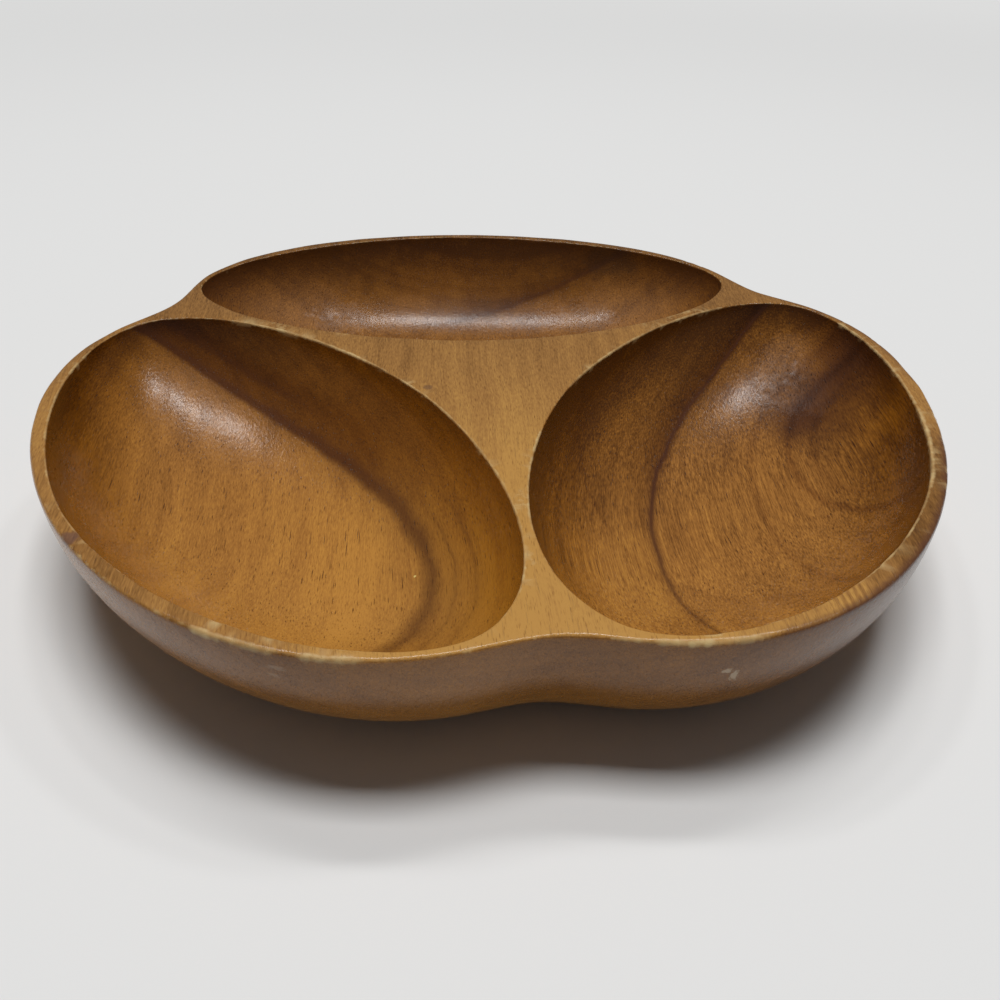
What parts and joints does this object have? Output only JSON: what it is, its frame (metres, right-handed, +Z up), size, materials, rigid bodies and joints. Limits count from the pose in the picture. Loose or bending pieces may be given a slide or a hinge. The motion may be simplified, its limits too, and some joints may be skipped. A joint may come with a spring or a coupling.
{
  "type": "divided serving bowl",
  "caption": "Shallow lobed serving dish carved from one block of wood, with oval wells round a flat triangular web, a thin flat rim and a curved side that ends in a flat foot.",
  "frame": {"origin": "middle of the flat foot, on the surface that the dish stands on, below the point where the directions of the wells meet", "axes": "+Z up out of the wells, +Y towards the rear well, +X towards the right well"},
  "size_m": [0.2793, 0.2696, 0.046],
  "materials": {
    "lacquered_wood": "satin lacquer over open-grained golden brown wood, pale where the edges are worn"
  },
  "bodies": {
    "root": {"carved_dish": "lacquered_wood"}
  },
  "joints": []
}
